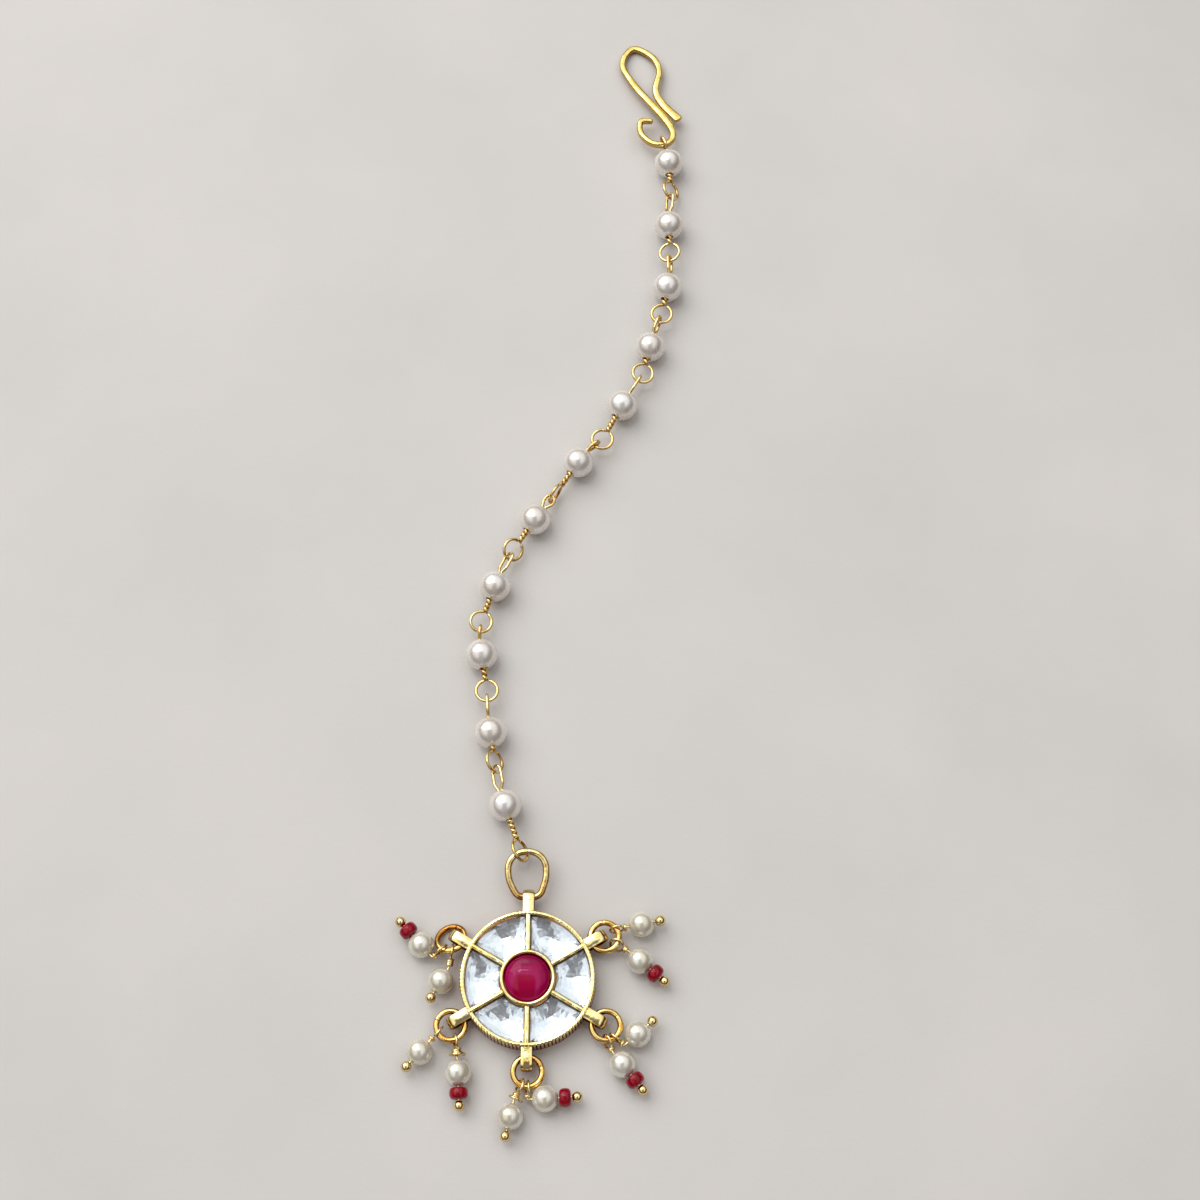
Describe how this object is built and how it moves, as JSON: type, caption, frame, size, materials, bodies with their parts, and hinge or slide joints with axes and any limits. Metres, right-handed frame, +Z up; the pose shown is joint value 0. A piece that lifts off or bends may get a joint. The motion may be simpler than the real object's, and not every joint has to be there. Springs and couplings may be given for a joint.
{
  "type": "maang tikka",
  "caption": "Maang tikka with an S-shaped hair hook, a pearl chain on twisted wire links and a round kundan and ruby medallion with pearl and red bead drops.",
  "frame": {"origin": "middle of the medallion's flat back face", "axes": "+Z up out of the medallion's face, +Y along the pearl chain to the hair hook"},
  "size_m": [0.0455, 0.1926, 0.005],
  "materials": {
    "gold_plate": "polished, gold-plated",
    "gold_hook": "hammered, gold-plated",
    "clear_glass": "cut kundan glass on silver foil",
    "ruby_glass": "polished cabochon",
    "chain_pearl": "pearl lustre",
    "drop_pearl": "ivory pearl lustre",
    "red_bead": "opaque gloss"
  },
  "bodies": {
    "root": {"hook": "gold_hook", "chain_link_01": "gold_plate", "chain_link_02": "gold_plate", "chain_link_03": "gold_plate", "chain_link_04": "gold_plate", "chain_link_05": "gold_plate", "chain_link_06": "gold_plate", "chain_link_07": "gold_plate", "chain_link_08": "gold_plate", "chain_link_09": "gold_plate", "chain_link_10": "gold_plate", "chain_link_11": "gold_plate", "chain_pearl_01": "chain_pearl", "chain_pearl_02": "chain_pearl", "chain_pearl_03": "chain_pearl", "chain_pearl_04": "chain_pearl", "chain_pearl_05": "chain_pearl", "chain_pearl_06": "chain_pearl", "chain_pearl_07": "chain_pearl", "chain_pearl_08": "chain_pearl", "chain_pearl_09": "chain_pearl", "chain_pearl_10": "chain_pearl", "chain_pearl_11": "chain_pearl", "pendant_ring": "gold_plate", "setting": "gold_plate", "kundan_stone_1": "clear_glass", "kundan_stone_2": "clear_glass", "kundan_stone_3": "clear_glass", "kundan_stone_4": "clear_glass", "kundan_stone_5": "clear_glass", "kundan_stone_6": "clear_glass", "ruby": "ruby_glass", "jump_ring_1": "gold_plate", "jump_ring_2": "gold_plate", "jump_ring_3": "gold_plate", "jump_ring_4": "gold_plate", "jump_ring_5": "gold_plate", "drop_pin_01": "gold_plate", "drop_pin_02": "gold_plate", "drop_pin_03": "gold_plate", "drop_pin_04": "gold_plate", "drop_pin_05": "gold_plate", "drop_pin_06": "gold_plate", "drop_pin_07": "gold_plate", "drop_pin_08": "gold_plate", "drop_pin_09": "gold_plate", "drop_pin_10": "gold_plate", "drop_pearl_01": "drop_pearl", "drop_pearl_02": "drop_pearl", "drop_pearl_03": "drop_pearl", "drop_pearl_04": "drop_pearl", "drop_pearl_05": "drop_pearl", "drop_pearl_06": "drop_pearl", "drop_pearl_07": "drop_pearl", "drop_pearl_08": "drop_pearl", "drop_pearl_09": "drop_pearl", "drop_pearl_10": "drop_pearl", "drop_red_beads": "red_bead"}
  },
  "joints": []
}
